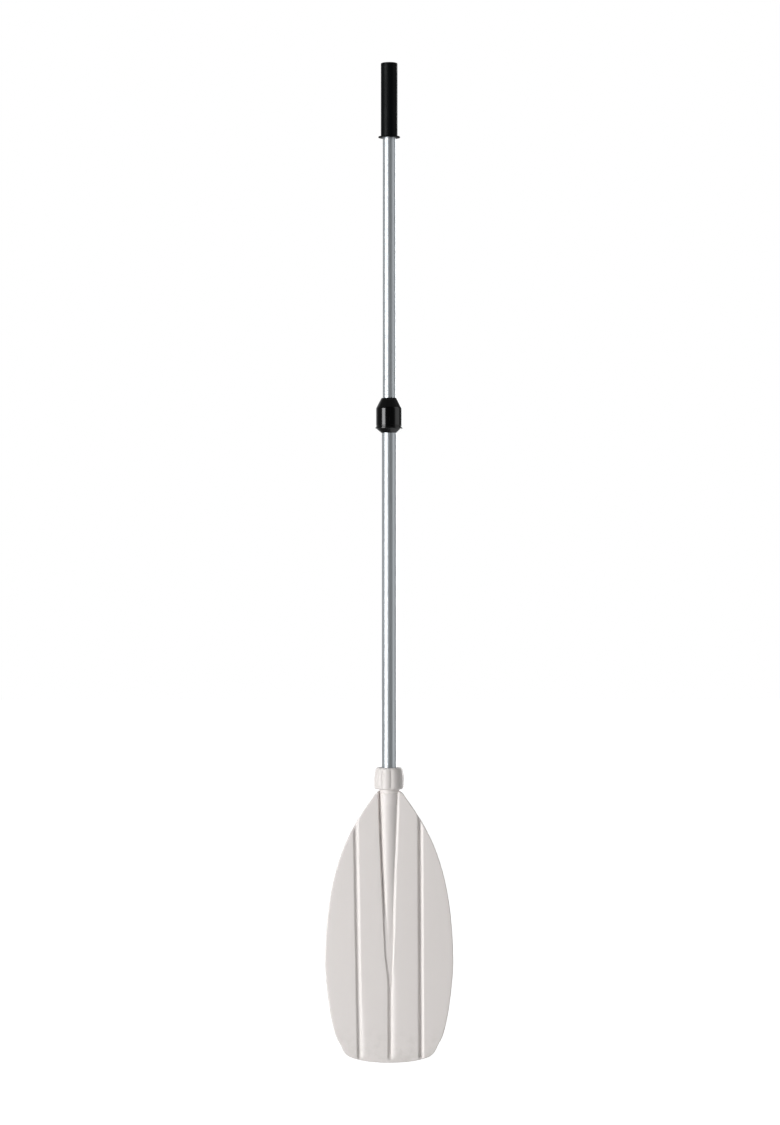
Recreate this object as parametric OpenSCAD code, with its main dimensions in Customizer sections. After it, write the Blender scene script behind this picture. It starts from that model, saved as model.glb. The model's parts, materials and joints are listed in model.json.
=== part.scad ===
// Telescopic rowing oar, standing blade down: blade tip at z = 0, shaft along +Z, blade face towards -Y.

/* [Shaft] */
// Overall length as set, blade tip to handle end
oar_len = 1700; // [1660:5:1735]
// Outer diameter of the lower tube
lower_tube_d = 25; // [24.8:0.05:25.1]
// Outer diameter of the upper tube
upper_tube_d = 22; // [21.9:0.05:22.1]
// Wall of both tubes
tube_wall = 1; // [0.98:0.01:1.05]
// Height of the lower tube's top end
lower_tube_top = 1110; // [1000:5:1150]
// How far the shaft reaches into the blade below the clamp nut
socket_depth = 110; // [90:5:115]
// Length that is left to pull out before the guide plug meets the lock sleeve
pull_left = 40; // [20:5:60]

/* [Blade] */
// Height of the blade's panel, tip to neck
blade_len = 458; // [450:1:460]
// Wall of the blade's panel
blade_t = 4; // [3:0.25:5]
// How far the blade's long edges bend back from its centre line
blade_dish = 5; // [3:1:10]
// Distance of the panel's middle surface in front of the shaft's axis
panel_y = 10.5; // [8:0.5:11]
// Distance of the side valleys from the centre line
valley_x = 54; // [46:1:60]
// Depth of the valleys pressed into the blade
valley_depth = 3; // [2:0.25:3.5]

/* [Blade nut] */
// Largest radius of the fluted nut
blade_nut_r = 25.6; // [24.5:0.1:27]
// Number of flutes around it
flutes = 10; // [8:1:16]

/* [Lock nut] */
// Radius of the nut's straight skirt
lock_nut_r = 22.3; // [21.5:0.1:23.5]
// Radius of the thin lip round the sleeve below it
lock_lip_r = 23.5; // [22.5:0.1:25]

/* [Handle] */
// Length of the grip
grip_len = 127; // [115:1:140]
// Radius of the grip
grip_r = 14.25; // [13.5:0.05:15.5]
// Radius of the flange at its lower end
grip_flange_r = 18.6; // [17:0.1:21]

/* [Hidden] */
$fn = 64;
fit = 0.08;        // radial clearance where a tube turns or slides
snug = 0.02;       // radial gap where a piece is pressed or bonded on
loose = 0.3;       // gap between faces that move past each other
pitch = 4;         // lead of both nuts' threads
thread_root_r = 16.6;
thread_crest_r = 18;
nut_thread_r = thread_crest_r + 0.35;

lower_r = lower_tube_d / 2;
lower_bore_r = lower_r - tube_wall;
upper_r = upper_tube_d / 2;
upper_bore_r = upper_r - tube_wall;

// Blade neck, from the panel's top upwards
neck_collar_r = 17.7;
neck_top = blade_len + 30;
seat_foot = neck_top - 12;
clamp_top = neck_top + 3.5;
blade_nut_roof = neck_top + 6.1;
blade_nut_top = neck_top + 13;
blade_nut_foot = blade_len + 6.8;
flute_turn = 26;   // where the first flute is, in degrees from +X
horn_rise = 3.5;   // how far the panel's shoulders rise beside the neck
horn_x = 15.4;     // distance of their inner edges from the centre line
socket_foot = seat_foot - socket_depth;

// Lower tube's ends
lower_plug_flange = 2;
lower_tube_foot = socket_foot + 2 + lower_plug_flange;
float_foot = lower_tube_foot + 22;
float_len = 190;

// Lock, from the sleeve's foot upwards
sleeve_foot = lower_tube_top - 39.5;
sleeve_shoulder = sleeve_foot + 12.3;
sleeve_ledge = 3;
sleeve_top = lower_tube_top + 7;
lock_nut_foot = sleeve_shoulder + loose;
lock_nut_roof = sleeve_top + 5.9;
lock_nut_top = sleeve_top + 13;

// Upper tube and handle
upper_tube_foot = lower_tube_top - pull_left - 0.5;
guide_len = 40;
rivet_r = 1.5;
rivet_z = upper_tube_foot + 14;
grip_foot = oar_len - grip_len;
grip_cap = 4;
upper_tube_top = oar_len - grip_cap - 2;

// Half of the blade's outline, neck to tip, as curves that share their end points
OUTLINE = [
    [[17, 461.5], [21, 461.5], [24.5, 457], [28.3, 451.2]],
    [[28.3, 451.2], [56.3, 408.5], [109, 349.5], [109, 165]],
    [[109, 165], [109, 150], [101, 56], [86, 35]],
    [[86, 35], [81.5, 28.7], [80, 16], [68, 10]],
    [[68, 10], [56, 4], [32, 0], [0, 0]]
];
OUTLINE_STEPS = 10;

// The spine: a round socket above, and a cone below it that leans forward and fades into the panel
SOCKET_FOOT = [14.6, socket_foot - 4];
SOCKET_TOP = [17.1, blade_len - 12];
spine_tip_r = 3;
spine_tip_z = 150;

function bezier(c, t) =
    pow(1 - t, 3) * c[0] + 3 * pow(1 - t, 2) * t * c[1] + 3 * (1 - t) * t * t * c[2] + pow(t, 3) * c[3];

function half_outline() = [
    for (c = OUTLINE) for (i = [0 : OUTLINE_STEPS - 1]) bezier(c, i / OUTLINE_STEPS)
];

// Where the dished panel's middle surface lies, at a distance x from the centre line
dish_r = (109 * 109 + blade_dish * blade_dish) / (2 * blade_dish);
function dish(x) = dish_r - sqrt(dish_r * dish_r - x * x) - panel_y;

// Profile points of a thread drawn as plain rings
function thread_rings(foot, count) = [
    for (k = [0 : count - 1]) each [
        [thread_root_r, foot + k * pitch],
        [thread_crest_r, foot + k * pitch + 0.8],
        [thread_crest_r, foot + k * pitch + 1.7],
        [thread_root_r, foot + k * pitch + 2.5]
    ]
];

module hollow(r_out, r_in, foot, top) {
    difference() {
        translate([0, 0, foot]) cylinder(r = r_out, h = top - foot);
        translate([0, 0, foot - 1]) cylinder(r = r_in, h = top - foot + 2);
    }
}

module cone_cut(r_foot, r_top, foot, top) {
    translate([0, 0, foot]) cylinder(r1 = r_foot, r2 = r_top, h = top - foot);
}

// Round channel pressed into the panel: its rod and the wall that follows it on the back
valley_rod_r = 5.7;
valley_wall_r = valley_rod_r + 0.85 * blade_t;
function valley_y(x) = dish(x) - blade_t / 2 - valley_rod_r + valley_depth;

module valley_rod(x) {
    translate([x, valley_y(x)]) circle(r = valley_rod_r);
}

module valley_wall(x) {
    intersection() {
        translate([x, valley_y(x)]) circle(r = valley_wall_r);
        translate([x - 10, dish(x)]) square([20, 10]);
    }
}

module panel_section() {
    difference() {
        union() {
            intersection() {
                difference() {
                    translate([0, dish_r - panel_y]) circle(r = dish_r + blade_t / 2);
                    translate([0, dish_r - panel_y]) circle(r = dish_r - blade_t / 2);
                }
                translate([-120, -30]) square([240, 60]);
            }
            for (x = [-valley_x, 0, valley_x]) valley_wall(x);
        }
        for (x = [-valley_x, valley_x]) valley_rod(x);
    }
}

module panel() {
    right = half_outline();
    left = [for (i = [len(right) - 1 : -1 : 0]) [-right[i][0], right[i][1]]];
    intersection() {
        linear_extrude(height = blade_len + horn_rise) panel_section();
        rotate([90, 0, 0]) linear_extrude(height = 80, center = true) polygon(concat([[0, 0]], left, right));
    }
}

// Cone between the spine's tip, inside the panel, and the socket's foot, on the shaft's axis
module spine_cone(tip_r, foot_r) {
    tip_y = spine_tip_r + 0.2 - panel_y - blade_t / 2;
    rise = SOCKET_FOOT[1] + 2 - spine_tip_z;
    lean = atan2(-tip_y, rise);
    translate([0, tip_y, spine_tip_z]) rotate([-lean, 0, 0])
        cylinder(r1 = tip_r, r2 = foot_r, h = rise / cos(lean));
}

module blade() {
    color("Gainsboro") difference() {
        union() {
            difference() {
                panel();
                translate([0, 0, -1]) linear_extrude(height = spine_tip_z + 6) valley_rod(0);
                translate([-horn_x, -20, blade_len]) cube([2 * horn_x, 40, horn_rise + 2]);
            }
            spine_cone(spine_tip_r, SOCKET_FOOT[0]);
            rotate_extrude() polygon(concat(
                [[0, SOCKET_FOOT[1]], SOCKET_FOOT, SOCKET_TOP, [SOCKET_TOP[0], blade_len - 0.4]],
                [
                    [16.2, blade_len + 0.4], [neck_collar_r, blade_len + 1.2], [neck_collar_r, blade_len + 8],
                    [thread_root_r, blade_len + 9.5]
                ],
                thread_rings(blade_len + 11, 4),
                [[thread_root_r, neck_top], [0, neck_top]]
            ));
        }
        translate([0, 0, socket_foot]) cylinder(r = lower_r + fit, h = neck_top - socket_foot + 1);
        cone_cut(13.85, 15.15, seat_foot, neck_top + 0.01);
    }
}

module split_ring(tube_r, r_foot, r_top, foot, seat_top, flange_r, top) {
    difference() {
        rotate_extrude() polygon([
            [tube_r + fit, foot], [r_foot, foot], [r_top, seat_top], [flange_r, seat_top],
            [flange_r, top], [tube_r + fit, top]
        ]);
        translate([-1, 0, foot - 1]) cube([2, flange_r + 1, top - foot + 2]);
    }
}

module blade_clamp_ring() {
    color("DimGray") split_ring(
        lower_r, 13.6, 14.9, seat_foot + loose, neck_top + loose, 16.4, clamp_top
    );
}

module blade_thrust_washer() {
    color("WhiteSmoke") hollow(16.8, lower_r + loose, clamp_top + loose, blade_nut_roof - loose);
}

module blade_nut() {
    foot = blade_nut_foot;
    top = blade_nut_top;
    color("White") difference() {
        rotate_extrude() polygon([
            [lower_r + loose, top], [21.6, top], [22.6, top - 0.9], [23.6, top - 4], [25, top - 12],
            [blade_nut_r, top - 21], [blade_nut_r, foot + 5], [24.6, foot + 0.8], [23.8, foot],
            [nut_thread_r, foot], [nut_thread_r, blade_nut_roof - 4], [17.2, blade_nut_roof - 3],
            [17.2, blade_nut_roof], [lower_r + loose, blade_nut_roof]
        ]);
        for (i = [0 : flutes - 1])
            rotate([0, 0, flute_turn + i * 360 / flutes]) translate([blade_nut_r + 1.3, 0, foot - 1])
                cylinder(r = 2.6, h = top - foot + 2);
    }
}

module lower_tube() {
    color("Silver") hollow(lower_r, lower_bore_r, lower_tube_foot, lower_tube_top);
}

module lower_end_plug() {
    color("DimGray") union() {
        translate([0, 0, lower_tube_foot - lower_plug_flange]) cylinder(r = lower_r - 0.1, h = lower_plug_flange);
        translate([0, 0, lower_tube_foot - 0.01]) cylinder(r = lower_bore_r - snug, h = 20);
    }
}

module lower_float() {
    color("LightYellow") translate([0, 0, float_foot]) cylinder(r = lower_bore_r - 0.1, h = float_len);
}

module lock_sleeve() {
    foot = sleeve_foot;
    color("#1b1b1c") difference() {
        rotate_extrude() polygon(concat(
            [
                [0, foot], [lower_r + 0.5, foot], [21.8, foot + 7.2], [lock_lip_r, foot + 7.8],
                [lock_lip_r, foot + 9.4], [lock_nut_r - 0.2, foot + 10],
                [lock_nut_r - 0.2, sleeve_shoulder], [thread_root_r, sleeve_shoulder]
            ],
            thread_rings(sleeve_shoulder + 2, 6),
            [[thread_root_r, sleeve_top - 4], [14.9, sleeve_top], [0, sleeve_top]]
        ));
        translate([0, 0, foot - 1]) cylinder(r = lower_r + snug, h = lower_tube_top - foot + 1);
        translate([0, 0, foot]) cylinder(r = upper_r + 0.1, h = sleeve_top - foot + 1);
        cone_cut(12.6, 13.75, lower_tube_top + sleeve_ledge, sleeve_top + 0.01);
    }
}

module lock_collet() {
    color("WhiteSmoke") split_ring(
        upper_r, 12.3, 13.4, lower_tube_top + sleeve_ledge + loose, sleeve_top + 0.4, 13.6, sleeve_top + 3.5
    );
}

module lock_thrust_washer() {
    color("WhiteSmoke") hollow(13.8, upper_r + loose, sleeve_top + 3.8, lock_nut_roof - loose);
}

module lock_nut() {
    foot = lock_nut_foot;
    top = lock_nut_top;
    color("#151516") rotate_extrude() polygon([
        [upper_r + loose, top], [13, top], [13.6, top - 0.6], [15, top - 3.5], [lock_nut_r - 0.7, top - 16],
        [lock_nut_r, top - 18], [lock_nut_r, foot + 0.5], [lock_nut_r - 0.5, foot],
        [nut_thread_r, foot], [nut_thread_r, sleeve_top - 2.5], [14.1, sleeve_top + 2.5],
        [14.1, lock_nut_roof], [upper_r + loose, lock_nut_roof]
    ]);
}

module rivet_hole() {
    translate([0, 0, rivet_z]) rotate([90, 0, 0]) cylinder(r = rivet_r + snug, h = 60, center = true);
}

module upper_tube() {
    color("Silver") difference() {
        hollow(upper_r, upper_bore_r, upper_tube_foot, upper_tube_top);
        rivet_hole();
    }
}

module guide_plug() {
    color("WhiteSmoke") difference() {
        union() {
            translate([0, 0, upper_tube_foot - guide_len]) cylinder(r1 = lower_bore_r - 1.1, r2 = lower_bore_r - fit, h = 2);
            translate([0, 0, upper_tube_foot - guide_len + 2]) cylinder(r = lower_bore_r - fit, h = guide_len - 2);
            translate([0, 0, upper_tube_foot - 0.01]) cylinder(r = upper_bore_r - snug, h = 25);
        }
        rivet_hole();
    }
}

module guide_plug_rivet() {
    color("LightGray") intersection() {
        translate([0, 0, rivet_z]) rotate([90, 0, 0]) cylinder(r = rivet_r, h = 60, center = true);
        translate([0, 0, rivet_z - 5]) cylinder(r = upper_r - 0.03, h = 10);
    }
}

module top_plug() {
    color("DimGray") union() {
        translate([0, 0, upper_tube_top]) cylinder(r = upper_r, h = 2);
        translate([0, 0, upper_tube_top - 14]) cylinder(r = upper_bore_r - snug, h = 14.01);
    }
}

module grip() {
    color("#101011") difference() {
        rotate_extrude() polygon([
            [0, grip_foot], [grip_flange_r - 0.4, grip_foot], [grip_flange_r, grip_foot + 0.4],
            [grip_flange_r, grip_foot + 1.6], [grip_flange_r - 0.4, grip_foot + 2], [grip_r, grip_foot + 2],
            [grip_r, oar_len - 1.6], [grip_r - 1.6, oar_len], [0, oar_len]
        ]);
        translate([0, 0, grip_foot - 1]) cylinder(r = upper_r + snug, h = grip_len - grip_cap + 1);
    }
}

blade();
blade_clamp_ring();
blade_thrust_washer();
blade_nut();
lower_tube();
lower_end_plug();
lower_float();
lock_sleeve();
lock_collet();
lock_thrust_washer();
lock_nut();
upper_tube();
guide_plug();
guide_plug_rivet();
top_plug();
grip();
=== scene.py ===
"""Looks of a telescopic rowing oar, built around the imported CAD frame.

The oar stands blade down: tip at z = 0, shaft along +Z, blade face towards -Y. Lengths here are in
millimetres until a mesh is made; Blender works in metres.
"""
import json
import math

import bmesh
import bpy
import numpy as np
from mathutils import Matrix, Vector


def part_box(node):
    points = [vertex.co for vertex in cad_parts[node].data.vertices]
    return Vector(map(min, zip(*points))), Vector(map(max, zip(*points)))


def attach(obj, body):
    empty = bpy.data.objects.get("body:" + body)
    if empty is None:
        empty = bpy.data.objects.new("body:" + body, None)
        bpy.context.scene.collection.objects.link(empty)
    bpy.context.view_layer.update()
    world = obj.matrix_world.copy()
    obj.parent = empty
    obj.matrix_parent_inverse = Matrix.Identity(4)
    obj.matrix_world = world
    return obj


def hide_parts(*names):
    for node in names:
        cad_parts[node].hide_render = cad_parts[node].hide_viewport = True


MM = 0.001
THREAD_PITCH = 4.0     # both nuts' threads
THREAD_ROOT = 16.6
THREAD_CREST = 18.0
NUT_BORE = 18.35       # radius inside both nuts, just outside the thread's crest

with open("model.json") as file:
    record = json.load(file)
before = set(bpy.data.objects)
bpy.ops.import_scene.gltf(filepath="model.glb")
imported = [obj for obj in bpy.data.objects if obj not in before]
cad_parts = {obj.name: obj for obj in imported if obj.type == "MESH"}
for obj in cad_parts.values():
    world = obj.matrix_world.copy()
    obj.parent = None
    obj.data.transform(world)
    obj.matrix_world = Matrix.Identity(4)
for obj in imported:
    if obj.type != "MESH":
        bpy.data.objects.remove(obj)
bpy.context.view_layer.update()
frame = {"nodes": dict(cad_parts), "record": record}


def span(node):
    """Lowest and highest point of a CAD node along the shaft, in mm."""
    low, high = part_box(node)
    return low.z / MM, high.z / MM


# ---------------------------------------------------------------- mesh helpers

def smoothstep(lo, hi, t):
    t = np.clip((np.asarray(t, float) - lo) / (hi - lo), 0, 1)
    return t * t * (3 - 2 * t)


def soft_ramp(t, width, soft):
    """0 below -width / 2, 1 above width / 2, with a straight flank and rounded corners."""
    t = np.asarray(t, float)
    a = np.logaddexp(0, (t + width / 2) / soft)
    b = np.logaddexp(0, (t - width / 2) / soft)
    return (a - b) * soft / width


def quads(rows, cols, close_rows=False, close_cols=False):
    """Index quads of a rows x cols grid whose points are stored row by row."""
    r = np.arange(rows if close_rows else rows - 1)
    c = np.arange(cols if close_cols else cols - 1)
    r, c = np.meshgrid(r, c, indexing="ij")
    r2, c2 = (r + 1) % rows, (c + 1) % cols
    return np.stack([r * cols + c, r * cols + c2, r2 * cols + c2, r2 * cols + c], -1).reshape(-1, 4)


def add_object(name, data):
    obj = bpy.data.objects.new(name, data)
    bpy.context.scene.collection.objects.link(obj)
    return obj


def make_mesh(name, points_mm, faces):
    """A smooth mesh object from points in mm, with its faces turned outwards."""
    mesh = bpy.data.meshes.new(name)
    mesh.from_pydata((np.asarray(points_mm, float) * MM).tolist(), [], [list(map(int, f)) for f in faces])
    bm = bmesh.new()
    bm.from_mesh(mesh)
    bmesh.ops.recalc_face_normals(bm, faces=bm.faces)
    bm.to_mesh(mesh)
    bm.free()
    mesh.shade_smooth()
    return add_object(name, mesh)


def rounded(profile, default=0.5, steps=5):
    """A closed profile of (radius, height[, corner radius]) with its corners rounded."""
    pts = [np.array(p[:2], float) for p in profile]
    radii = [p[2] if len(p) > 2 else default for p in profile]
    out = []
    n = len(pts)
    for i in range(n):
        a, b, c = pts[i - 1], pts[i], pts[(i + 1) % n]
        u, v = a - b, c - b
        lu, lv = np.linalg.norm(u), np.linalg.norm(v)
        u, v = u / lu, v / lv
        turn = math.acos(max(-1, min(1, float(-u @ v))))
        if radii[i] <= 0 or turn < 0.02:
            out.append(b)
            continue
        cut = min(radii[i] * math.tan(turn / 2), 0.48 * lu, 0.48 * lv)
        p, q = b + u * cut, b + v * cut
        for k in range(steps + 1):
            t = k / steps
            out.append((1 - t) ** 2 * p + 2 * t * (1 - t) * b + t * t * q)
    return np.array(out)


def subdivide(profile, longest):
    """Splits the long sides of a closed profile."""
    out = []
    n = len(profile)
    for i in range(n):
        a, b = profile[i], profile[(i + 1) % n]
        k = max(1, int(math.ceil(np.linalg.norm(b - a) / longest)))
        out.extend(a + (b - a) * j / k for j in range(k))
    return np.array(out)


def lathe(name, profile, segments=128, shape=None):
    """A closed profile turned round the shaft's axis. shape(angle, r, z) may change the radius."""
    angle = np.arange(segments) * 2 * math.pi / segments
    a, r = np.meshgrid(angle, profile[:, 0], indexing="ij")
    z = np.meshgrid(angle, profile[:, 1], indexing="ij")[1]
    if shape is not None:
        r = shape(a, r, z)
    points = np.stack([r * np.cos(a), r * np.sin(a), z], -1).reshape(-1, 3)
    return make_mesh(name, points, quads(segments, len(profile), True, True))


def join(name, parts):
    """One object from several shells."""
    bm = bmesh.new()
    for p in parts:
        bm.from_mesh(p.data)
        bpy.data.objects.remove(p)
    mesh = bpy.data.meshes.new(name)
    bm.to_mesh(mesh)
    bm.free()
    mesh.shade_smooth()
    return add_object(name, mesh)


# ---------------------------------------------------------------- materials

class Look:
    """A Principled material with a few helpers for procedural detail in object space."""

    def __init__(self, name, color, roughness, metallic=0.0, ior=1.5, **sockets):
        self.mat = bpy.data.materials.new(name)
        self.mat.use_nodes = True
        self.nodes = self.mat.node_tree.nodes
        self.links = self.mat.node_tree.links
        self.bsdf = self.nodes["Principled BSDF"]
        self.set("Base Color", (*color, 1))
        self.set("Roughness", roughness)
        self.set("Metallic", metallic)
        self.set("IOR", ior)
        for key, value in sockets.items():
            self.set(key.replace("_", " "), value)
        self.color, self.roughness = color, roughness
        self.coords = self.add("ShaderNodeTexCoord").outputs["Object"]
        self.last_bump = None

    def set(self, socket, value):
        self.bsdf.inputs[socket].default_value = value

    def add(self, kind, **inputs):
        node = self.nodes.new(kind)
        for key, value in inputs.items():
            node.inputs[key.replace("_", " ")].default_value = value
        return node

    def stretched(self, scale, turn=(0, 0, 0)):
        node = self.add("ShaderNodeMapping")
        node.inputs["Scale"].default_value = scale
        node.inputs["Rotation"].default_value = turn
        self.links.new(self.coords, node.inputs["Vector"])
        return node.outputs["Vector"]

    def noise(self, scale, detail=3.0, roughness=0.5, stretch=(1, 1, 1), turn=(0, 0, 0)):
        node = self.add("ShaderNodeTexNoise", Scale=scale, Detail=detail, Roughness=roughness)
        self.links.new(self.stretched(stretch, turn), node.inputs["Vector"])
        return node.outputs["Fac"]

    def cells(self, scale):
        node = self.add("ShaderNodeTexVoronoi", Scale=scale)
        self.links.new(self.stretched((1, 1, 1)), node.inputs["Vector"])
        return node.outputs["Distance"]

    def remap(self, value, lo, hi, to_lo=0.0, to_hi=1.0):
        node = self.add("ShaderNodeMapRange")
        node.interpolation_type = "SMOOTHSTEP"
        for key, v in (("From Min", lo), ("From Max", hi), ("To Min", to_lo), ("To Max", to_hi)):
            node.inputs[key].default_value = v
        self.links.new(value, node.inputs["Value"])
        return node.outputs["Result"]

    def math(self, op, a, b):
        node = self.add("ShaderNodeMath")
        node.operation = op
        for socket, v in zip(node.inputs, (a, b)):
            if isinstance(v, (int, float)):
                socket.default_value = v
            else:
                self.links.new(v, socket)
        return node.outputs[0]

    def axis(self, index):
        node = self.add("ShaderNodeSeparateXYZ")
        self.links.new(self.coords, node.inputs[0])
        return node.outputs[index]

    def tint(self, mask, color):
        """Base colour moves towards color where mask is high."""
        node = self.add("ShaderNodeMix")
        node.data_type = "RGBA"
        node.inputs[6].default_value = (*self.color, 1)
        previous = self.bsdf.inputs["Base Color"].links
        if previous:
            self.links.new(previous[0].from_socket, node.inputs[6])
        node.inputs[7].default_value = (*color, 1)
        self.links.new(mask, node.inputs[0])
        self.links.new(node.outputs[2], self.bsdf.inputs["Base Color"])

    def rough(self, mask, amount):
        """Roughness changes by amount where mask is high."""
        start = self.roughness
        previous = self.bsdf.inputs["Roughness"].links
        if previous:
            start = previous[0].from_socket
        out = self.math("ADD", start, self.math("MULTIPLY", mask, amount))
        self.links.new(out, self.bsdf.inputs["Roughness"])

    def bump(self, height, distance_mm, strength=1.0):
        node = self.add("ShaderNodeBump", Strength=strength, Distance=distance_mm * MM)
        self.links.new(height, node.inputs["Height"])
        if self.last_bump is not None:
            self.links.new(self.last_bump, node.inputs["Normal"])
        self.last_bump = node.outputs["Normal"]
        self.links.new(self.last_bump, self.bsdf.inputs["Normal"])


def moulded_white(name, color, roughness, seed):
    """Satin moulded polypropylene: faint mottling, a fine skin, hairline scuffs."""
    m = Look(name, color, roughness, ior=1.49)
    cloud = m.noise(11 + seed, 4, 0.55)
    m.tint(m.remap(cloud, 0.35, 0.7, 0, 0.35), tuple(c * 0.965 for c in color))
    m.tint(m.remap(m.noise(60, 2, 0.5, (1, 1, 0.25)), 0.5, 0.75, 0, 0.25), tuple(c * 1.02 for c in color))
    scuff = m.remap(m.noise(420, 2, 0.6, (1, 1, 0.035), (0, 0.35 + seed, 0)), 0.66, 0.74)
    m.tint(m.math("MULTIPLY", scuff, 0.16), tuple(c * 0.82 for c in color))
    m.rough(m.remap(cloud, 0.3, 0.75), 0.07)
    m.rough(scuff, 0.08)
    m.bump(m.noise(1500, 2, 0.5), 0.012)
    m.bump(m.noise(230, 2, 0.5), 0.05, 0.55)
    m.bump(scuff, -0.01)
    return m


def blade_look():
    m = moulded_white("blade_plastic", (0.785, 0.737, 0.713), 0.42, 0)
    height = m.axis(2)
    dust = m.math("MULTIPLY", m.remap(height, 0.075, 0.0), m.remap(m.noise(45, 5, 0.65), 0.4, 0.68))
    m.tint(m.math("MULTIPLY", dust, 0.3), (0.5, 0.47, 0.43))
    m.rough(dust, 0.18)
    return m.mat


def nut_white_look():
    return moulded_white("nut_white_plastic", (0.735, 0.69, 0.665), 0.38, 1).mat


def aluminium_look():
    """Clear anodised drawn tube: fine lines along the tube, faint smudges and rub marks."""
    m = Look("aluminium_tube", (0.52, 0.55, 0.57), 0.36, metallic=0.72)
    lines = m.noise(900, 1, 0.5, (1, 1, 0.0003))
    fine = m.noise(3200, 1, 0.5, (1, 1, 0.0001))
    smudge = m.noise(9, 1, 0.4, (1, 1, 0.3))
    rub = m.remap(m.noise(1100, 1, 0.5, (1, 1, 0.002)), 0.7, 0.8)
    m.tint(m.remap(lines, 0.35, 0.7, 0, 0.5), (0.44, 0.47, 0.49))
    m.tint(m.math("MULTIPLY", rub, 0.25), (0.66, 0.67, 0.68))
    m.rough(m.remap(smudge, 0.42, 0.72), 0.05)
    m.rough(m.remap(lines, 0.3, 0.75), 0.04)
    m.bump(lines, 0.0015, 0.5)
    m.bump(fine, 0.0005, 0.5)
    return m.mat


def black_nylon_look():
    """Glossy moulded nylon with a faint flow texture."""
    m = Look("black_nylon", (0.001, 0.0011, 0.0012), 0.11, ior=1.5)
    cloud = m.noise(40, 3, 0.6)
    scuff = m.remap(m.noise(500, 2, 0.6, (1, 1, 0.08), (0.3, 0.2, 0)), 0.68, 0.77)
    m.tint(m.math("MULTIPLY", scuff, 0.4), (0.009, 0.01, 0.011))
    m.rough(m.remap(cloud, 0.35, 0.7), 0.05)
    m.rough(scuff, 0.15)
    m.bump(m.noise(160, 2, 0.5), 0.02, 0.5)
    m.bump(m.noise(1800, 2, 0.5), 0.004, 0.6)
    return m.mat


def grip_look():
    """Soft black grip: a fine leathery pebble and a worn, slightly shinier palm zone."""
    m = Look("grip_black", (0.0018, 0.0024, 0.0027), 0.46, ior=1.5, Specular_IOR_Level=0.07)
    pebble = m.cells(900)
    worn = m.remap(m.noise(14, 4, 0.6), 0.45, 0.68)
    m.tint(m.math("MULTIPLY", worn, 0.5), (0.0036, 0.0044, 0.0048))
    m.rough(worn, -0.07)
    m.bump(pebble, 0.05, 0.35)
    m.bump(m.noise(220, 3, 0.5), 0.03, 0.4)
    return m.mat


def plain_look(name, color, roughness, grain, metallic=0.0, ior=1.5):
    """Small inner pieces: slight mottling and a machined or moulded skin."""
    m = Look(name, color, roughness, metallic, ior)
    cloud = m.noise(grain * 0.1, 3, 0.6)
    m.tint(m.remap(cloud, 0.35, 0.7, 0, 0.6), tuple(c * 0.88 for c in color))
    m.rough(m.remap(cloud, 0.3, 0.7), 0.08)
    m.bump(m.noise(grain, 3, 0.55), 0.03, 0.6)
    return m.mat


def foam_look():
    m = Look("foam", (0.85, 0.82, 0.7), 0.9)
    m.tint(m.remap(m.noise(30, 3, 0.6), 0.35, 0.7, 0, 0.5), (0.78, 0.74, 0.6))
    m.bump(m.cells(700), 0.4, 0.6)
    return m.mat


LOOKS = {
    "blade_plastic": blade_look(),
    "nut_white_plastic": nut_white_look(),
    "aluminium_tube": aluminium_look(),
    "black_nylon": black_nylon_look(),
    "grip_black": grip_look(),
    "acetal": plain_look("acetal", (0.8, 0.8, 0.78), 0.3, 900),
    "grey_plastic": plain_look("grey_plastic", (0.2, 0.2, 0.21), 0.45, 700),
    "aluminium_rivet": plain_look("aluminium_rivet", (0.6, 0.61, 0.62), 0.32, 1500, metallic=1.0),
    "foam": foam_look(),
}


def place(obj, body, slot, *nodes):
    """Finish, body and the CAD nodes that obj stands for."""
    obj.data.materials.clear()
    obj.data.materials.append(LOOKS[slot])
    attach(obj, body)
    if nodes:
        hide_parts(*nodes)


# ---------------------------------------------------------------- blade

BLADE_TOP = 458.0      # the panel's top edge, at the neck
HALF_WIDTH = 109.0
HALF_WALL = 2.0        # half the panel's wall
PANEL_Y = -10.5        # the panel's middle surface, on the centre line
DISH = 5.0             # how far the side edges stand behind the centre line
DISH_R = (HALF_WIDTH ** 2 + DISH ** 2) / (2 * DISH)
NECK_END = (20, 465)   # end of the half outline
OUTLINE = (            # half outline, tip to neck, in cubic curves
    ((0, 0), (32, 0), (56, 4), (68, 10)),
    ((68, 10), (80, 16), (81.5, 28.7), (86, 35)),
    ((86, 35), (101, 56), (109, 150), (109, 165)),
    ((109, 165), (109, 370), (44, 420), NECK_END),
)
# The spine's front at some heights: half its width, and how far its crown stands out of the panel
SPINE_Z = (0, 138, 150, 167, 187, 228, 269, 310, 351, 392, 432, 458)
SPINE_HALF = (0.6, 0.6, 1.2, 2.6, 4.3, 6.0, 7.7, 9.4, 11.1, 12.8, 14.1, 14.4)
SPINE_CROWN = (-3, -3, -3, -2.95, -2.7, -2.3, -1.2, 0.4, 1.95, 3.1, 4.0, 4.6)
VALLEY_DEPTH = 3.6     # the central valley's, near the tip
RIDGE_HEIGHT = 3.0     # the ridges behind the valleys
WALL_W = 2.9           # run of a valley's wall
WALL_SOFT = 0.38       # softness of its corners
SIDE_X = 54.0          # roughly where the side valleys are; the mesh is finer there
SIDE_HALF = 3.2        # half a side valley's width, at half its depth
CONE_Z = (180, 330)    # heights between which the spine's sides come to differ
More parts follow.
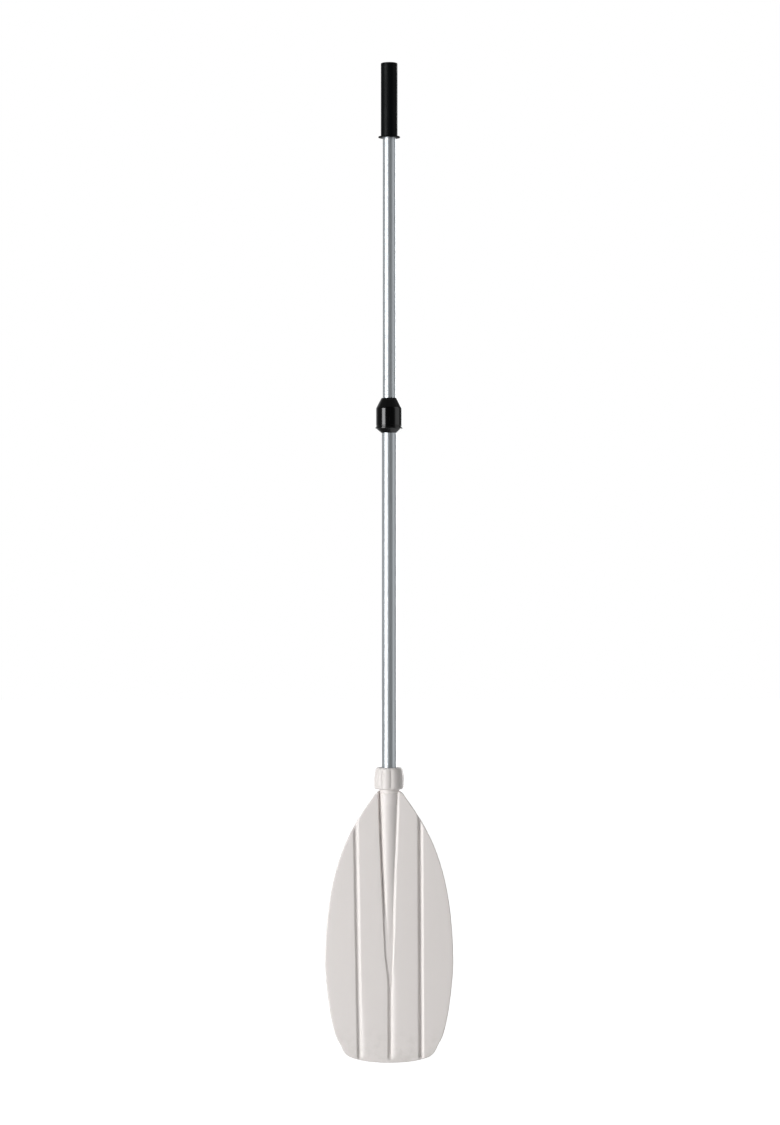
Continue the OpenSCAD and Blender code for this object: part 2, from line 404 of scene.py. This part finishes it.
# The next ones are for the left (-1) and the right (1)
SIDE_DEPTH = {-1: 3.1, 1: 4.1}      # of the side valleys
TROUGH_EXTRA = {-1: 4.2, 1: -1.3}   # how much deeper than VALLEY_DEPTH the troughs beside the socket are
TROUGH_WIDTH = {-1: 3.0, 1: 0.6}    # how wide they are
WALL_RUN = {-1: 2.2, 1: 5.0}        # how long the slopes of their outer walls are
FLANK_BULGE = {-1: 2.4, 1: 1.5}     # the spine's flanks: 2 is round, less is flatter
FLANK_WIDTH = {-1: 1, 1: 0.86}      # a share of the spine's half width
SOCKET_R = 17.1        # the round socket, at the neck


def smoothed(z, zs, values, reach=14.0):
    """Linear between the given heights, with the kinks rounded off."""
    k = np.linspace(-1, 1, 15)
    w = np.cos(k * math.pi / 2) ** 2
    return sum(wi * np.interp(z + ki * reach, zs, values) for ki, wi in zip(k, w)) / w.sum()


def dish(x):
    """The panel's middle surface."""
    return DISH_R - np.sqrt(DISH_R ** 2 - x ** 2) + PANEL_Y


def side_valley_x(z, side):
    """The side valleys aren't quite parallel to the centre line."""
    z = np.asarray(z, float)
    return 54.3 - 0.0045 * z if side > 0 else -50.0 - 0.0175 * z


def centre_x(z):
    """The central valley below the cone runs a little to the right."""
    return 1.8 * (1 - smoothstep(130, 190, z))


def groove(d, half, run=WALL_W):
    """1 on a valley's floor, 0 outside it."""
    return soft_ramp(half - np.abs(d), run, WALL_SOFT)


def valley_fade(z):
    """The valleys run out just above the tip."""
    return smoothstep(3.5, 13, z)


def front_y(x, z):
    """The blade's face: three valleys, and the spine that rises out of the middle one."""
    half = smoothed(z, SPINE_Z, SPINE_HALF)
    crown = smoothed(z, SPINE_Z, SPINE_CROWN)
    u = x - centre_x(z)
    beside = smoothstep(*CONE_Z, z)

    def by_side(plain, values):
        """plain near the tip, the side's own value beside the socket."""
        return plain + (np.where(u < 0, values[-1], values[1]) - plain) * beside

    floor = VALLEY_DEPTH + by_side(0, TROUGH_EXTRA)
    run = by_side(WALL_W, WALL_RUN)
    depth = floor * groove(u, half + by_side(2.5, TROUGH_WIDTH), run) * valley_fade(z)
    half = half * by_side(1, FLANK_WIDTH)
    rise = np.maximum(crown + floor, 0.02)
    bulge = by_side(2, FLANK_BULGE)
    arc = rise * np.maximum(1 - (np.abs(u) / np.maximum(half, 0.3)) ** bulge, 0) ** (1 / bulge)
    depth = np.where(np.abs(u) < half, np.minimum(depth, floor - arc), depth)
    for side in (-1, 1):
        depth = depth + SIDE_DEPTH[side] * valley_fade(z) * groove(x - side_valley_x(z, side), SIDE_HALF)
    return dish(x) - HALF_WALL + depth


def back_y(x, z):
    """The blade's back: the valleys' backs stand out as ridges."""
    ridge = RIDGE_HEIGHT * groove(x - centre_x(z), 4.2) * valley_fade(z) * (1 - smoothstep(150, 175, z))
    for side in (-1, 1):
        ridge = ridge + RIDGE_HEIGHT * valley_fade(z) * groove(x - side_valley_x(z, side), 4.4)
    return dish(x) + HALF_WALL + ridge


def bezier(c, t):
    """Points of a cubic curve."""
    c = np.array(c, float)
    t = t[:, None]
    return (1 - t) ** 3 * c[0] + 3 * (1 - t) ** 2 * t * c[1] + 3 * (1 - t) * t * t * c[2] + t ** 3 * c[3]


def inset_outline(inset):
    """Half outline, tip to neck, moved inwards, with even spacing."""
    pts = np.vstack([bezier(c, np.linspace(0, 1, 80, endpoint=False)) for c in OUTLINE] + [[NECK_END]])
    tangent = np.gradient(pts, axis=0)
    tangent[0] = (1, 0)
    tangent /= np.linalg.norm(tangent, axis=1)[:, None]
    for _ in range(6):  # rounds the corner's normals so that the inset edge stays smooth
        tangent[1:-1] = (tangent[:-2] + 2 * tangent[1:-1] + tangent[2:]) / 4
    tangent /= np.linalg.norm(tangent, axis=1)[:, None]
    return pts + inset * np.stack([-tangent[:, 1], tangent[:, 0]], -1)


def panel_grid():
    """(x, z) of the panel's points, in rows that bend from the curved foot to level ones."""
    edge = inset_outline(HALF_WALL)
    edge[0] = (0, edge[0, 1])
    edge = edge[edge[:, 1] < BLADE_TOP - 1.2]
    slope = np.gradient(edge, axis=0)
    corner = int(np.argmax(slope[:, 1] > slope[:, 0]))
    foot, side = edge[:corner + 1], edge[corner:]
    foot_t = foot[:, 0] / foot[-1, 0]
    run = np.concatenate([[0], np.cumsum(np.linalg.norm(np.diff(side, axis=0), axis=1))])
    steps = np.unique(np.concatenate([
        np.linspace(0, 14, 12), np.linspace(14, run[-1] - 24, 175), np.linspace(run[-1] - 24, run[-1], 20)
    ]))
    end_x, end_z = np.interp(steps, run, side[:, 0]), np.interp(steps, run, side[:, 1])

    rows = []
    for x_end, z_end in zip(end_x, end_z):
        # Five stretches of columns: spine, trough, plain, side valley, edge
        spine = float(smoothed(np.array(z_end), SPINE_Z, SPINE_HALF))
        valley_end = min(SIDE_X + 7.5, x_end - 1.5)
        valley_start = min(SIDE_X - 7.5, valley_end - 3)
        trough_end = min(spine + 5.6, valley_start - 1.5)
        trough_start = min(spine, trough_end - 1)
        stops = (0, trough_start, trough_end, valley_start, valley_end)
        xs = np.concatenate([
            np.linspace(a, b, n, endpoint=False) for a, b, n in zip(stops, stops[1:], (12, 12, 6, 20))
        ] + [np.linspace(valley_end, x_end, 12)])
        sag = end_z[0] - np.interp(xs / x_end, foot_t, foot[:, 1])
        zs = z_end - sag * (1 - smoothstep(0, 150, z_end - end_z[0]))
        # Shoulders beside the neck: raised next to the socket, rounded off further out
        shoulder = 4.2 * smoothstep(14.6, 16.6, xs) - 5.2 * smoothstep(17.5, 25, xs)
        zs = zs + shoulder * smoothstep(436, 457, z_end)
        rows.append(np.stack([np.concatenate([-xs[:0:-1], xs]), np.concatenate([zs[:0:-1], zs])], -1))
    return np.array(rows)


def rounded_rim(front, back, loop):
    """Rings of points along the panel's edge, in half circles from the front to the back."""
    flat = front[loop][:, [0, 2]]
    tangent = np.roll(flat, -1, 0) - np.roll(flat, 1, 0)
    for _ in range(3):
        tangent = (np.roll(tangent, 1, 0) + 2 * tangent + np.roll(tangent, -1, 0)) / 4
    tangent /= np.linalg.norm(tangent, axis=1)[:, None]
    normal = np.stack([tangent[:, 1], -tangent[:, 0]], -1)
    y0, y1 = front[loop][:, 1], back[loop][:, 1]
    mid, half_t = (y0 + y1) / 2, (y1 - y0) / 2
    rim = []
    for a in np.linspace(0, math.pi, 9)[1:-1]:
        out = flat + normal * (HALF_WALL * math.sin(a))
        rim.append(np.stack([out[:, 0], mid - half_t * math.cos(a), out[:, 1]], -1))
    return np.array(rim)


def blade_panel():
    grid = panel_grid()
    x, z = grid[..., 0], grid[..., 1]
    front = np.stack([x, front_y(x, z), z], -1).reshape(-1, 3)
    back = np.stack([x, back_y(x, z), z], -1).reshape(-1, 3)
    faces = quads(*x.shape)
    count = x.size
    idx = np.arange(count).reshape(x.shape)
    loop = np.concatenate([idx[0, :-1], idx[:-1, -1], idx[-1, :0:-1], idx[:0:-1, 0]])
    rim = rounded_rim(front, back, loop)
    m = len(loop)
    rings = [loop] + [2 * count + k * m + np.arange(m) for k in range(len(rim))] + [loop + count]
    rim_faces = [np.stack([a, np.roll(a, -1), np.roll(b, -1), b], -1) for a, b in zip(rings, rings[1:])]
    points = np.vstack([front, back, rim.reshape(-1, 3)])
    return make_mesh("panel", points, np.vstack([faces, faces[:, ::-1] + count] + rim_faces))


def blade_spine():
    """The round socket and the cone below it, as they stand out of the panel's back."""
    foot, cone_foot, cone_top = 128, 150, 366
    levels = np.concatenate([np.linspace(foot, cone_top, 100), np.linspace(cone_top, 457, 40)[1:]])
    radius = np.interp(levels, (foot, cone_foot, cone_top, 446, 458), (1.6, 3.2, 14.6, SOCKET_R, SOCKET_R))
    centre = np.interp(levels, (foot, cone_foot, cone_top), (-11.2, -9.3, 0.0))
    radius, centre = (smoothed(levels, levels, v, 10) for v in (radius, centre))
    floor_y = PANEL_Y + HALF_WALL    # the panel's back
    inner_y = PANEL_Y + 0.6          # the spine's foot, hidden inside the panel
    sections = []
    for z, r, c in zip(levels, radius, centre):
        fillet = 1.2 + 2.2 * min(1, r / 12)
        top = max(c, floor_y + 0.35 * r)
        arc = np.linspace(0, math.pi, 41)
        dome = np.stack([r * np.cos(arc), top + (c + r - top) * np.sin(arc)], -1)
        drop = np.linspace(0, 1, 9)[1:]
        wall_y = top + (floor_y + fillet - top) * drop
        draft = 0.05 * (top - wall_y)
        right = np.stack([r + draft, wall_y], -1)
        foot_r = right[-1, 0]
        q = np.linspace(0, math.pi / 2, 8)[1:]
        flare_y = floor_y - 0.15 + (fillet + 0.15) * (1 - np.sin(q))
        flare = np.stack([foot_r + fillet * (1 - np.cos(q)), flare_y], -1)
        side = np.vstack([right, flare])
        # The middle of the foot stays behind the troughs
        step_x = min(float(smoothed(np.array(z), SPINE_Z, SPINE_HALF)) + 5.2, side[-1, 0] - 0.8)
        recess = (TROUGH_EXTRA[-1] + 1.4) * float(smoothstep(240, 330, z))
        bottom = np.array([
            [side[-1, 0] - 0.4, inner_y], [step_x, inner_y], [step_x - 0.8, inner_y + recess + 0.01]
        ])
        half = np.vstack([side, bottom])
        sections.append(np.vstack([half[::-1], dome, half * (-1, 1)]))
    sec = np.array(sections)
    rows, cols = sec.shape[:2]
    z = np.repeat(levels[:, None], cols, 1)
    pts = np.stack([sec[..., 0], sec[..., 1], z], -1).reshape(-1, 3)
    faces = quads(rows, cols, False, True).tolist()
    faces.append(list(range(cols)))
    faces.append(list(range((rows - 1) * cols, rows * cols)))
    return make_mesh("spine", pts, faces)


def helix(lo, hi):
    """A screw thread between two heights, as a change of radius over angle and height."""
    run_out = THREAD_PITCH * 0.8

    def shape(a, r, z):
        phase = ((z - lo) / THREAD_PITCH - a / (2 * math.pi)) % 1.0
        tooth = soft_ramp(0.24 - np.abs(phase - 0.5), 0.2, 0.02)
        fade = smoothstep(lo, lo + run_out, z) * (1 - smoothstep(hi - run_out, hi, z))
        threaded = (np.abs(r - THREAD_ROOT) < 0.01) & (z > lo) & (z < hi)
        return np.where(threaded, r + (THREAD_CREST - THREAD_ROOT) * tooth * fade, r)
    return shape


def blade_neck():
    top = span("blade")[1]
    bore, collar_r = 12.6, 17.7
    profile = rounded([
        (bore, BLADE_TOP - 20, 0), (SOCKET_R, BLADE_TOP - 20, 0), (SOCKET_R, BLADE_TOP - 0.6, 0.7),
        (16.2, BLADE_TOP + 0.1, 0.3), (collar_r, BLADE_TOP + 1.0, 0.5), (collar_r, BLADE_TOP + 8, 0.4),
        (THREAD_ROOT, BLADE_TOP + 9.5, 0.3), (THREAD_ROOT, top, 0.5), (15.15, top, 0.3),
        (13.85, top - 12, 0.2), (bore, top - 12, 0.2)
    ], steps=4)
    return lathe("neck", subdivide(profile, 0.35), 128, helix(BLADE_TOP + 10.5, top - 0.6))


place(join("blade_moulding", [blade_panel(), blade_spine(), blade_neck()]), "blade", "blade_plastic", "blade")


# ---------------------------------------------------------------- blade nut

FLUTES = 10
FLUTE_TURN = 26.0      # where the first flute is, in degrees from +X


def fluted_nut():
    foot, top = span("blade_nut")
    roof = top - 6.9
    profile = rounded([
        (12.8, top - 0.2, 0.3), (13.4, top, 0.3), (20.9, top, 0.8), (23.0, top - 2.2, 2.5),
        (24.9, top - 12, 14), (25.6, top - 21, 12), (25.6, foot + 6, 6), (24.9, foot + 1.4, 1.2),
        (23.2, foot, 0.5), (NUT_BORE, foot, 0.4), (NUT_BORE, roof - 4, 0.3), (17.2, roof - 3, 0.3),
        (17.2, roof, 0.3), (12.8, roof, 0.3)
    ], steps=6)
    first_flute = math.radians(FLUTE_TURN)

    def flutes(a, r, z):
        """Shallow at the rims and deeper between them, on the outer wall only."""
        lobes = np.sqrt(np.sin(FLUTES / 2 * (a - first_flute)) ** 2 + 0.012)
        deep = smoothstep(top + 1.5, top - 7, z) * smoothstep(foot - 1.0, foot + 5, z)
        outer = smoothstep(20.0, 22.5, r)
        return r - outer * (0.35 + 1.45 * deep) * (1 - np.minimum(lobes, 1)) ** 1.25
    return lathe("blade_nut_fluted", subdivide(profile, 0.6), FLUTES * 28, flutes)


place(fluted_nut(), "blade_nut", "nut_white_plastic", "blade_nut")


# ---------------------------------------------------------------- tubes

LOWER_TUBE_R = 12.5
UPPER_TUBE_R = 11.0
TUBE_WALL = 1.0
RIVET_HOLE_R = 1.55


def tube(name, node, r_out):
    foot, top = span(node)
    r_in = r_out - TUBE_WALL
    profile = rounded([(r_out, foot, 0.3), (r_out, top, 0.3), (r_in, top, 0.25), (r_in, foot, 0.25)], steps=4)
    return lathe(name, subdivide(profile, 25), 144)


def drilled(obj, radius, z):
    """Cuts the rivet's cross hole through a tube."""
    bpy.ops.mesh.primitive_cylinder_add(radius=radius * MM, depth=0.06, vertices=48,
                                        location=(0, 0, z * MM), rotation=(math.pi / 2, 0, 0))
    drill = bpy.context.object
    cut = obj.modifiers.new("hole", "BOOLEAN")
    cut.operation, cut.object, cut.solver = "DIFFERENCE", drill, "EXACT"
    bpy.context.view_layer.update()
    mesh = bpy.data.meshes.new_from_object(obj.evaluated_get(bpy.context.evaluated_depsgraph_get()))
    obj.modifiers.clear()
    obj.data = mesh
    bpy.data.objects.remove(drill)
    return obj


place(tube("lower_tube_drawn", "lower_tube", LOWER_TUBE_R), "lower_shaft", "aluminium_tube", "lower_tube")
rivet_low, rivet_high = span("guide_plug_rivet")
upper_tube = tube("upper_tube_drawn", "upper_tube", UPPER_TUBE_R)
upper_tube = drilled(upper_tube, RIVET_HOLE_R, (rivet_low + rivet_high) / 2)
place(upper_tube, "upper_shaft", "aluminium_tube", "upper_tube")


# ---------------------------------------------------------------- lock

def lock_sleeve():
    foot, top = span("lock_sleeve")
    shoulder = foot + 12.3
    tube_top = span("lower_tube")[1]
    lower_bore, upper_bore = LOWER_TUBE_R + 0.05, 11.1
    profile = rounded([
        (lower_bore, foot, 0.15), (13.2, foot, 0.4), (21.6, foot + 7.0, 1.0), (23.5, foot + 7.9, 0.35),
        (23.5, foot + 9.3, 0.35), (22.1, foot + 10.1, 0.4), (22.1, shoulder, 0.35),
        (THREAD_ROOT, shoulder, 0.3), (THREAD_ROOT, top - 4, 0.4), (14.9, top, 0.4), (13.75, top, 0.2),
        (12.6, tube_top + 3, 0.2), (upper_bore, tube_top + 3, 0.2), (upper_bore, tube_top + 0.05, 0.1),
        (lower_bore, tube_top + 0.05, 0.1)
    ], steps=4)
    return lathe("lock_sleeve_moulded", subdivide(profile, 0.4), 128, helix(shoulder + 1.6, top - 4.4))


def lock_nut():
    foot, top = span("lock_nut")
    roof = top - 7.1
    sleeve_top = span("lock_sleeve")[1]
    profile = rounded([
        (11.3, top - 0.3, 0.3), (11.8, top, 0.3), (13.1, top, 0.6), (15.2, top - 3.7, 2.0),
        (21.6, top - 16, 2.2), (22.3, top - 18.2, 1.5), (22.3, foot + 0.4, 0.4), (21.9, foot, 0.3),
        (NUT_BORE, foot, 0.3), (NUT_BORE, sleeve_top - 2.5, 0.3), (14.1, sleeve_top + 2.5, 0.3),
        (14.1, roof, 0.3), (11.3, roof, 0.3)
    ], steps=5)
    return lathe("lock_nut_moulded", subdivide(profile, 1.2), 144)


place(lock_sleeve(), "lower_shaft", "black_nylon", "lock_sleeve")
place(lock_nut(), "lock_nut", "black_nylon", "lock_nut")


# ---------------------------------------------------------------- grip

def handle_grip():
    foot, top = span("grip")
    roof = top - 4
    bore, palm_r, centre = 11.02, 14.25, 0.02
    profile = rounded([
        (bore, foot, 0.2), (18.4, foot, 0.5), (18.6, foot + 1.0, 0.8), (18.3, foot + 2, 0.5),
        (palm_r, foot + 2.1, 1.0), (palm_r, top - 1.0, 0.5), (13.4, top, 0.6), (centre, top, 0),
        (centre, roof, 0), (bore, roof, 0.1)
    ], steps=5)
    return lathe("grip_sleeve", subdivide(profile, 1.5), 128)


place(handle_grip(), "upper_shaft", "grip_black", "grip")


# ---------------------------------------------------------------- pieces that stay as the CAD made them

SLOT_OF = {s["node"]: s["material_slot"] for s in frame["record"]["subparts"]}
for node, obj in frame["nodes"].items():
    obj.data.materials.clear()
    obj.data.materials.append(LOOKS[SLOT_OF[node]])
    obj.data.shade_smooth()


# ---------------------------------------------------------------- stage, light, camera

def stage_floor():
    """A pale floor for the camera only, clear from below."""
    mesh = bpy.data.meshes.new("floor")
    s = 14.0    # half its side, in metres
    mesh.from_pydata([(-s, -s, 0), (s, -s, 0), (s, s, 0), (-s, s, 0)], [], [(0, 1, 2, 3)])
    floor = add_object("floor", mesh)
    floor.location.z = -0.0004
    floor.visible_diffuse = floor.visible_glossy = floor.visible_transmission = False
    floor.visible_shadow = False
    mat = bpy.data.materials.new("floor_pale")
    mat.use_nodes = True
    nodes, links = mat.node_tree.nodes, mat.node_tree.links
    nodes.clear()
    out = nodes.new("ShaderNodeOutputMaterial")
    diffuse = nodes.new("ShaderNodeBsdfDiffuse")
    diffuse.inputs["Color"].default_value = (0.3, 0.3, 0.3, 1)
    glow = nodes.new("ShaderNodeEmission")
    glow.inputs["Strength"].default_value = 0.93
    add = nodes.new("ShaderNodeAddShader")
    clear = nodes.new("ShaderNodeBsdfTransparent")
    mix = nodes.new("ShaderNodeMixShader")
    side = nodes.new("ShaderNodeNewGeometry")
    links.new(diffuse.outputs[0], add.inputs[0])
    links.new(glow.outputs[0], add.inputs[1])
    links.new(side.outputs["Backfacing"], mix.inputs[0])
    links.new(add.outputs[0], mix.inputs[1])
    links.new(clear.outputs[0], mix.inputs[2])
    links.new(mix.outputs[0], out.inputs[0])
    mesh.materials.append(mat)


def studio():
    """White backdrop for the camera; for the object, soft boxes painted on the sky by direction."""
    world = bpy.data.worlds.new("studio")
    bpy.context.scene.world = world
    world.use_nodes = True
    nodes, links = world.node_tree.nodes, world.node_tree.links
    nodes.clear()

    def calc(op, a, b=None):
        node = nodes.new("ShaderNodeMath")
        node.operation = op
        for socket, v in zip(node.inputs, (a, b)):
            if v is None:
                continue
            if isinstance(v, (int, float)):
                socket.default_value = v
            else:
                links.new(v, socket)
        return node.outputs[0]

    def edge(value, lo, hi):
        """0 at lo, 1 at hi."""
        node = nodes.new("ShaderNodeMapRange")
        node.interpolation_type = "SMOOTHSTEP"
        node.inputs["From Min"].default_value = lo
        node.inputs["From Max"].default_value = hi
        links.new(value, node.inputs["Value"])
        return node.outputs["Result"]

    def band(value, lo, hi, soft):
        """1 between lo and hi, 0 outside."""
        return calc("MULTIPLY", edge(value, lo - soft, lo + soft), edge(value, hi + soft, hi - soft))

    # Directions in degrees: turn is 0 towards -Y, -90 to the left and 180 behind; rise is 90 overhead
    split = nodes.new("ShaderNodeSeparateXYZ")
    links.new(nodes.new("ShaderNodeTexCoord").outputs["Generated"], split.inputs[0])
    turn = calc("MULTIPLY", calc("ARCTAN2", split.outputs[0], calc("MULTIPLY", split.outputs[1], -1)),
                180 / math.pi)
    rise = calc("MULTIPLY", calc("ARCSINE", split.outputs[2]), 180 / math.pi)

    def box(level, lo, hi, up, soft_turn, soft_rise):
        """A soft box from turn lo to hi, and up to up degrees above and below the horizon."""
        shape = calc("MULTIPLY", band(turn, lo, hi, soft_turn), band(rise, -up, up, soft_rise))
        return calc("MULTIPLY", shape, level)

    key = box(8.3, -64.5, -37, 27, 4, 6)
    fill = box(0.95, 54, 98, 38, 8, 8)
    aside = calc("ABSOLUTE", turn)
    bounce = calc("MULTIPLY", calc("MULTIPLY", band(turn, 20, 150, 20), edge(rise, -18, -42)), 0.6)
    overhead = calc("MULTIPLY", edge(rise, 50, 80), 0.5)
    base = calc("ADD", 0.04, calc("ADD", calc("MULTIPLY", edge(aside, 25, 60), 0.09), overhead))
    behind = calc("MULTIPLY", calc("MULTIPLY", edge(aside, 112, 140), edge(rise, -45, -10)), 0.36)
    back_key = box(4.5, 140, 167, 27, 4, 6)
    total = key
    for part in (fill, bounce, base, behind, back_key):
        total = calc("ADD", total, part)
    light = nodes.new("ShaderNodeBackground")
    light.inputs["Color"].default_value = (0.985, 0.995, 1.0, 1)
    links.new(total, light.inputs["Strength"])
    white = nodes.new("ShaderNodeBackground")
    white.inputs["Color"].default_value = (1, 1, 1, 1)
    path = nodes.new("ShaderNodeLightPath")
    mix = nodes.new("ShaderNodeMixShader")
    links.new(path.outputs["Is Camera Ray"], mix.inputs[0])
    links.new(light.outputs[0], mix.inputs[1])
    links.new(white.outputs[0], mix.inputs[2])
    out = nodes.new("ShaderNodeOutputWorld")
    links.new(mix.outputs[0], out.inputs[0])


def camera():
    data = bpy.data.cameras.new("camera")
    data.lens, data.sensor_width = 100.0, 36.0
    data.clip_end = 60.0
    cam = add_object("camera", data)
    cam.location = (0.0013, -5.32, 0.850)
    cam.rotation_euler = (math.pi / 2, 0, 0)
    bpy.context.scene.camera = cam


stage_floor()
studio()
camera()
view = bpy.context.scene.view_settings
view.view_transform = "Standard"
view.look = "None"
